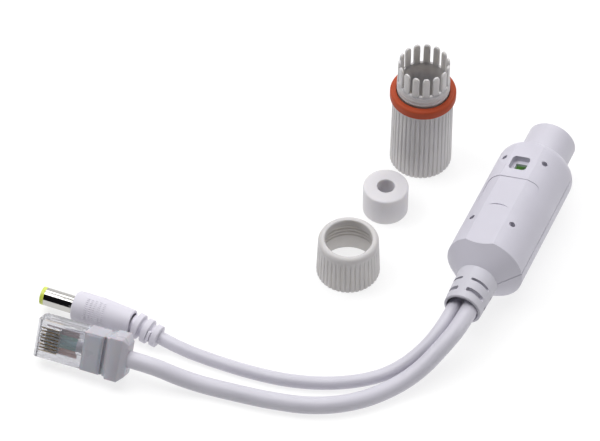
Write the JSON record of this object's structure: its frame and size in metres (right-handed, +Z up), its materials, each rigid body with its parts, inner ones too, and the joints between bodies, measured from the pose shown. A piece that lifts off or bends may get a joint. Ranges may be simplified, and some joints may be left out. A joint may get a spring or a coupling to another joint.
{
  "type": "poe injector",
  "caption": "Weatherproof inline power injector with a network socket, short network and DC cords with plugs, and its loose cable gland kit.",
  "frame": {"origin": "middle of the footprint of the injector and its gland kit, on the surface they stand on", "axes": "+Y along the injector from its cords to its network socket, +Z up, the gland kit stands on the -X side"},
  "size_m": [0.1309, 0.1366, 0.0421],
  "materials": {
    "shell_plastic": "fine moulded, pale lavender grey",
    "collar_plastic": "smooth moulded, pale grey",
    "carrier_plastic": "black insert",
    "steel": "plated steel",
    "gold_contact": "gold plated",
    "board_laminate": "green solder mask",
    "ferrite": "dark ferrite",
    "component_black": "black epoxy",
    "can_aluminium": "printed sleeve over an aluminium can",
    "led_lens": "clear lens",
    "cord_white": "soft pale lavender grey jacket",
    "lead_red": "insulated wire",
    "lead_blue": "insulated wire",
    "relief_grey": "soft moulded sleeve, pale grey",
    "barrel_metal": "nickel plated",
    "tip_yellow": "yellow green insulator",
    "plug_white": "moulded pale lavender grey grip",
    "clear_plastic": "clear polycarbonate",
    "boot_clear": "milky translucent moulding",
    "wire_orange": "wire insulation",
    "wire_green": "wire insulation",
    "wire_blue": "wire insulation",
    "wire_brown": "wire insulation",
    "gland_plastic": "moulded, pale grey",
    "seal_orange": "soft silicone, orange red",
    "rubber_white": "soft pale grey rubber"
  },
  "bodies": {
    "injector": {"upper_shell": "shell_plastic", "lower_shell": "shell_plastic", "case_pins": "steel", "socket_collar": "collar_plastic", "contact_carrier": "carrier_plastic", "circuit_board": "board_laminate", "isolation_transformer": "component_black", "power_inductor": "ferrite", "input_capacitor": "can_aluminium", "output_capacitor": "can_aluminium", "bridge_rectifier": "component_black", "converter_chip": "component_black", "rectifier_diode": "component_black", "status_led": "led_lens", "strain_relief": "relief_grey", "dc_cord_tail": "cord_white", "network_cord_tail": "cord_white", "power_leads": "lead_red", "data_leads": "lead_blue", "dc_sleeve": "barrel_metal", "dc_tip_insulator": "tip_yellow", "dc_inner_contact": "gold_contact", "dc_grip": "plug_white", "dc_strain_relief": "plug_white", "plug_body": "clear_plastic", "plug_contacts": "gold_contact", "wires_orange": "wire_orange", "wires_green": "wire_green", "wires_blue": "wire_blue", "wires_brown": "wire_brown", "plug_jacket_end": "cord_white", "plug_boot": "boot_clear", "dc_cord": "cord_white", "network_cord": "cord_white"},
    "plug_latch": {"plug_latch": "clear_plastic"},
    "socket_contacts": {"socket_contacts": "gold_contact"},
    "gland_shell": {"gland_shell": "gland_plastic"},
    "seal_ring": {"seal_ring": "seal_orange"},
    "rubber_plug": {"rubber_plug": "rubber_white"},
    "gland_nut": {"gland_nut": "gland_plastic"}
  },
  "joints": [
    {"name": "plug_latch_press", "type": "hinge", "parent": "injector", "child": "plug_latch", "pos_m": [-0.09041, -0.09115, 0.00651], "axis": [0.0388, -0.5285, -0.848], "range_deg": [0, 12], "stiffness_Nm_per_rad": 0.1},
    {"name": "socket_contact_press", "type": "hinge", "parent": "injector", "child": "socket_contacts", "pos_m": [0.01883, 0.0346, 0.01458], "axis": [-0.9799, 0, -0.1994], "range_deg": [0, 8], "stiffness_Nm_per_rad": 0.1},
    {"name": "gland_shell_turn", "type": "hinge", "parent": "injector", "child": "gland_shell", "pos_m": [-0.01945, 0.025, 0], "axis": [0, 0, 1], "continuous": true},
    {"name": "seal_ring_lift", "type": "slide", "parent": "gland_shell", "child": "seal_ring", "axis": [0, 0, 1], "range_m": [0, 0.016]},
    {"name": "rubber_plug_lift", "type": "slide", "parent": "injector", "child": "rubber_plug", "axis": [0, 0, 1], "range_m": [0, 0.03]},
    {"name": "gland_nut_turn", "type": "hinge", "parent": "injector", "child": "gland_nut", "pos_m": [-0.02165, -0.027, 0], "axis": [0, 0, 1], "continuous": true}
  ]
}
